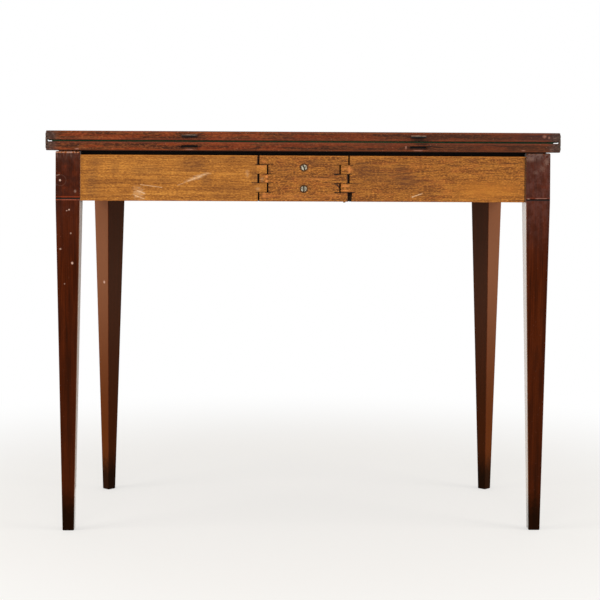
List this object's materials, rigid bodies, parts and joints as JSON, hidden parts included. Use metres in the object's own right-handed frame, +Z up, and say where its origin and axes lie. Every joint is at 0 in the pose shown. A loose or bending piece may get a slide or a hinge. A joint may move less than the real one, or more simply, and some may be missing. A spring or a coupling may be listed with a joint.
{
  "type": "fold-over card table",
  "caption": "D-shaped card table with a folding baize-lined top, tapered legs and two gate legs swinging on wooden knuckle hinges.",
  "frame": {"origin": "on the floor, under the middle of the closed table's bounding box", "axes": "+X along the table, towards the gate leg with the chipped hinge; +Y from the hinged back edge, where the gate legs stand, to the rounded front; +Z up"},
  "size_m": [0.914, 0.463, 0.715],
  "materials": {
    "top_mahogany": "old wax polish, satin",
    "frieze_veneer": "french polish, satin",
    "leg_mahogany": "french polish, satin",
    "rail_beech": "bare aged wood, waxed",
    "carcass_pine": "bare aged wood",
    "baize": "napped wool cloth",
    "ebony_string": "polished inlay",
    "aged_brass": "dull brown patina",
    "screw_steel": "aged, slotted"
  },
  "bodies": {
    "frame": {"lower_leaf": "top_mahogany", "lower_baize": "baize", "hinge_block": "rail_beech", "block_screws": "screw_steel", "left_knuckle_pin": "screw_steel", "right_knuckle_pin": "screw_steel", "inner_back_rail": "carcass_pine", "front_rail": "carcass_pine", "right_end_rail": "carcass_pine", "left_end_rail": "carcass_pine", "right_corner_rail": "carcass_pine", "left_corner_rail": "carcass_pine", "medial_rail": "carcass_pine", "left_veneer": "frieze_veneer", "front_veneer": "frieze_veneer", "right_veneer": "frieze_veneer", "pocket_screws": "screw_steel", "glue_blocks": "carcass_pine", "right_front_leg": "leg_mahogany", "left_front_leg": "leg_mahogany", "right_front_leg_string": "ebony_string", "left_front_leg_string": "ebony_string", "right_lower_hinge_plate": "aged_brass", "left_lower_hinge_plate": "aged_brass", "lower_plate_screws": "screw_steel"},
    "left_gate": {"left_gate_leg": "leg_mahogany", "left_gate_leg_string": "ebony_string", "left_fly_rail": "rail_beech"},
    "right_gate": {"right_gate_leg": "leg_mahogany", "right_gate_leg_string": "ebony_string", "right_fly_rail": "rail_beech"},
    "hinge_links": {"left_hinge_link": "aged_brass", "right_hinge_link": "aged_brass", "left_link_pins": "aged_brass", "right_link_pins": "aged_brass"},
    "upper_leaf": {"upper_leaf": "top_mahogany", "upper_baize": "baize", "leaf_tongues": "top_mahogany", "right_upper_hinge_plate": "aged_brass", "left_upper_hinge_plate": "aged_brass", "upper_plate_screws": "screw_steel"}
  },
  "joints": [
    {"name": "left_gate_swing", "type": "hinge", "parent": "frame", "child": "left_gate", "pos_m": [-0.0724, -0.2115, 0.63175], "axis": [0, 0, 1], "range_deg": [0, 90]},
    {"name": "right_gate_swing", "type": "hinge", "parent": "frame", "child": "right_gate", "pos_m": [0.0724, -0.2115, 0.63175], "axis": [0, 0, -1], "range_deg": [0, 90]},
    {"name": "link_fold", "type": "hinge", "parent": "frame", "child": "hinge_links", "pos_m": [0, -0.2215, 0.693], "axis": [1, 0, 0], "range_deg": [0, 90]},
    {"name": "leaf_fold", "type": "hinge", "parent": "hinge_links", "child": "upper_leaf", "pos_m": [0, -0.2215, 0.702], "axis": [1, 0, 0], "range_deg": [0, 90]}
  ],
  "couplings": [
    {"joint": "link_fold", "follows": "leaf_fold", "ratio": 1}
  ]
}
